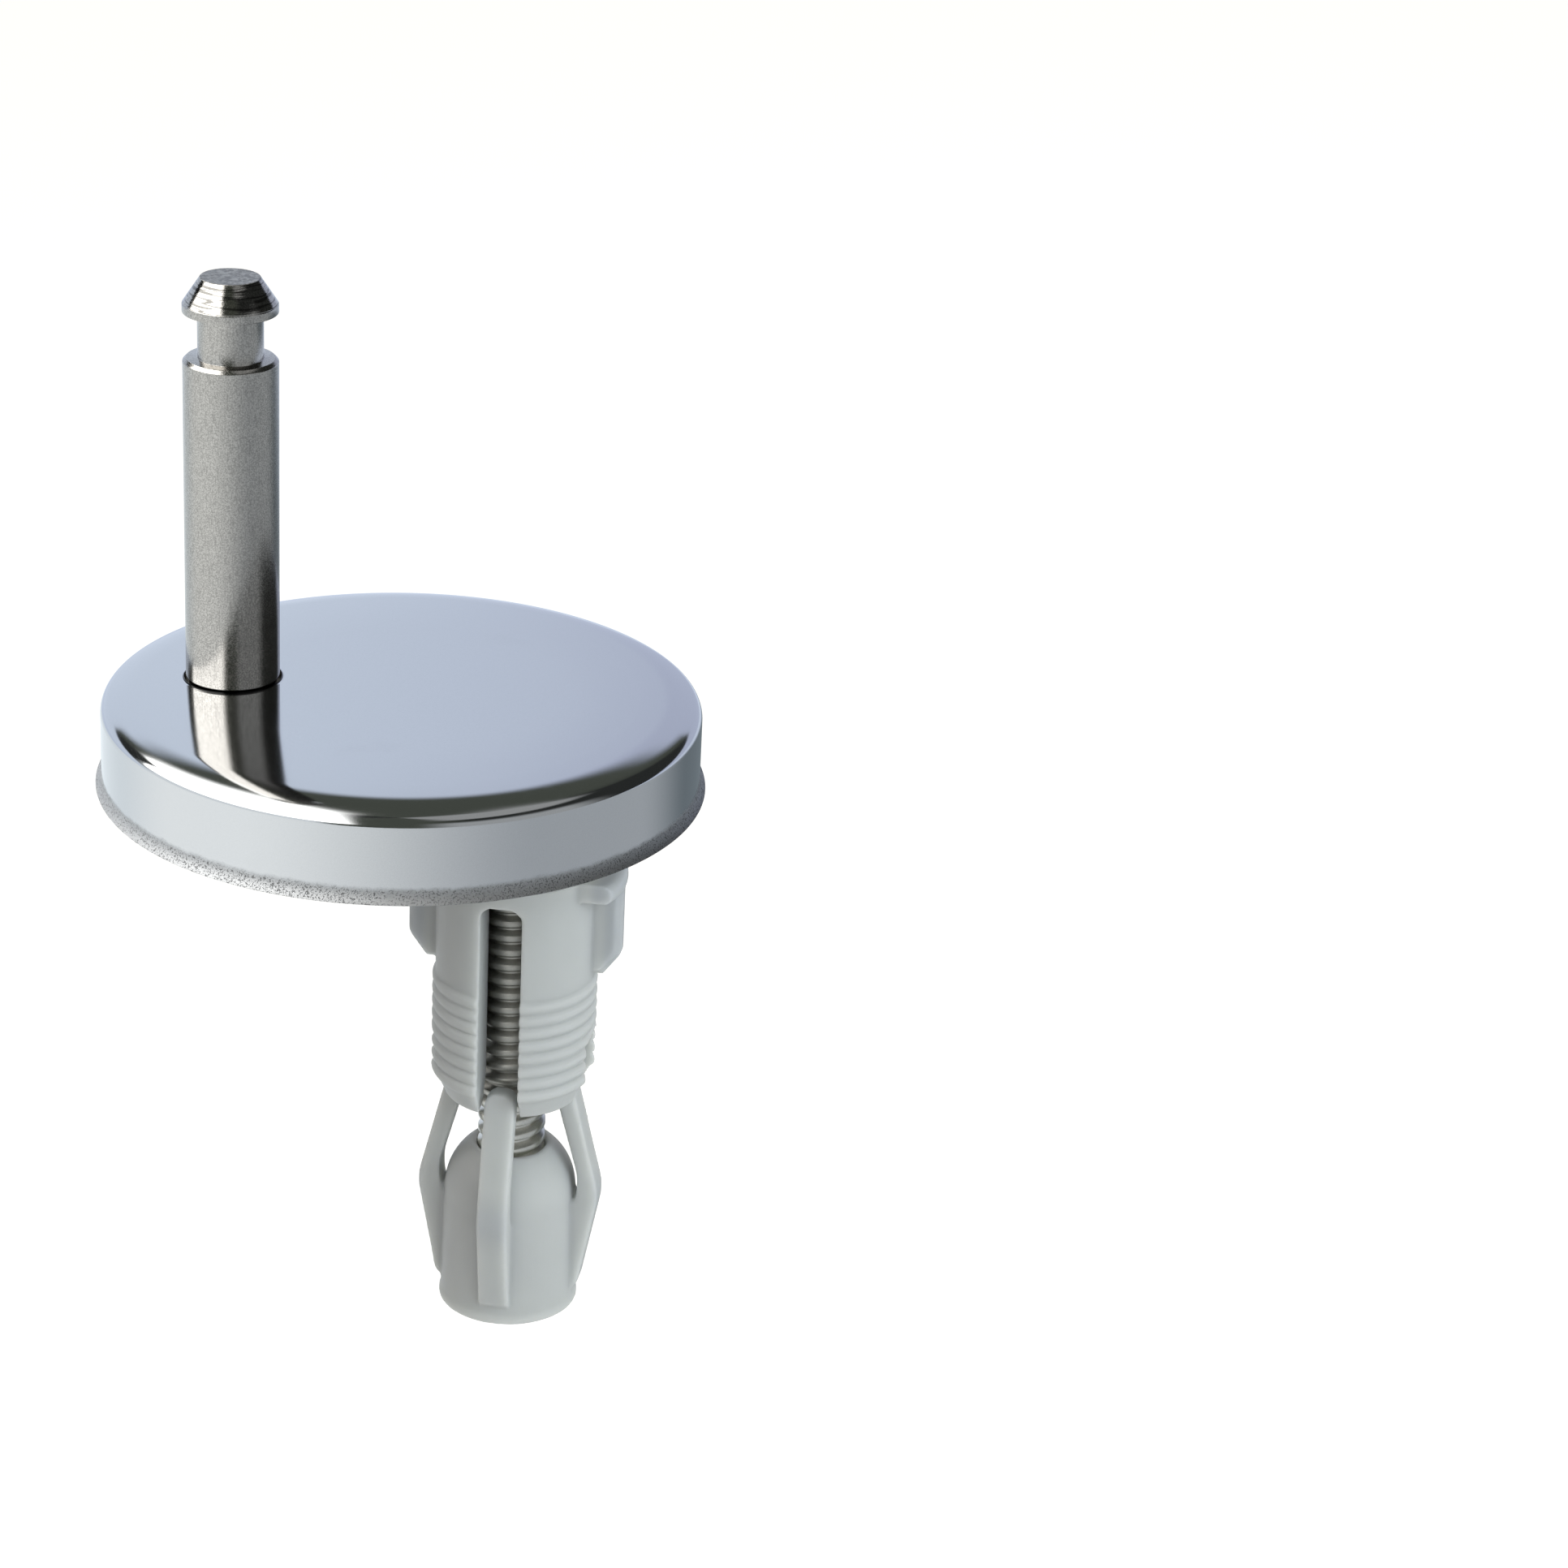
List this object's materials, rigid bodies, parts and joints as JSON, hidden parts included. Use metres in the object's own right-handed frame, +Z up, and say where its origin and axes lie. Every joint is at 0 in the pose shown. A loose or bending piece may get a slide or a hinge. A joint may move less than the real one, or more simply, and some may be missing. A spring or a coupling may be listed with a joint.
{
  "type": "toilet seat hinge",
  "caption": "Concealed toilet seat hinge: polished cover disc with an upright snap pin, and an expanding nylon plug on a screw below it.",
  "frame": {"origin": "middle of the fixing hole at the top face of the china, on the axis of the fixing screw", "axes": "+Z up along the hinge pin, +X from the pin towards the fixing screw, along the slot in the base plate"},
  "size_m": [0.0524, 0.0524, 0.0938],
  "materials": {
    "polished_steel": "pressed stainless steel, polished",
    "turned_steel": "turned stainless steel, satin",
    "screw_steel": "rolled steel thread, bright",
    "stamped_steel": "stamped zinc plated steel",
    "natural_nylon": "natural nylon, milky and slightly translucent",
    "white_plastic": "moulded white nylon",
    "pad_foam": "soft matt rubber"
  },
  "bodies": {
    "base": {"base_plate": "white_plastic", "hinge_pin": "turned_steel", "pin_screw": "screw_steel", "base_pad": "pad_foam"},
    "cover": {"cover_disc": "polished_steel"},
    "slider": {"slot_slider": "stamped_steel"},
    "washer": {"flat_washer": "stamped_steel"},
    "screw": {"fixing_screw": "screw_steel"},
    "nut": {"expansion_nut": "natural_nylon"},
    "sleeve": {"plug_sleeve": "natural_nylon"}
  },
  "joints": [
    {"name": "cover_lift", "type": "slide", "parent": "base", "child": "cover", "axis": [0, 0, 1], "range_m": [0, 0.0365]},
    {"name": "slot_slide", "type": "slide", "parent": "base", "child": "slider", "axis": [1, 0, 0], "range_m": [-0.0062, 0.0018]},
    {"name": "plug_swivel", "type": "hinge", "parent": "slider", "child": "washer", "pos_m": [0, 0, 0], "axis": [0, 0, 1], "continuous": true},
    {"name": "screw_turn", "type": "hinge", "parent": "washer", "child": "screw", "pos_m": [0, 0, 0], "axis": [0, 0, 1], "range_deg": [-721, 1801]},
    {"name": "nut_travel", "type": "slide", "parent": "washer", "child": "nut", "axis": [0, 0, 1], "range_m": [-0.007, 0.0028]},
    {"name": "sleeve_slide", "type": "slide", "parent": "nut", "child": "sleeve", "axis": [0, 0, 1], "range_m": [-0.004, 0.0055]}
  ],
  "couplings": [
    {"joint": "screw_turn", "follows": "nut_travel", "rad_per_m": -4488}
  ]
}
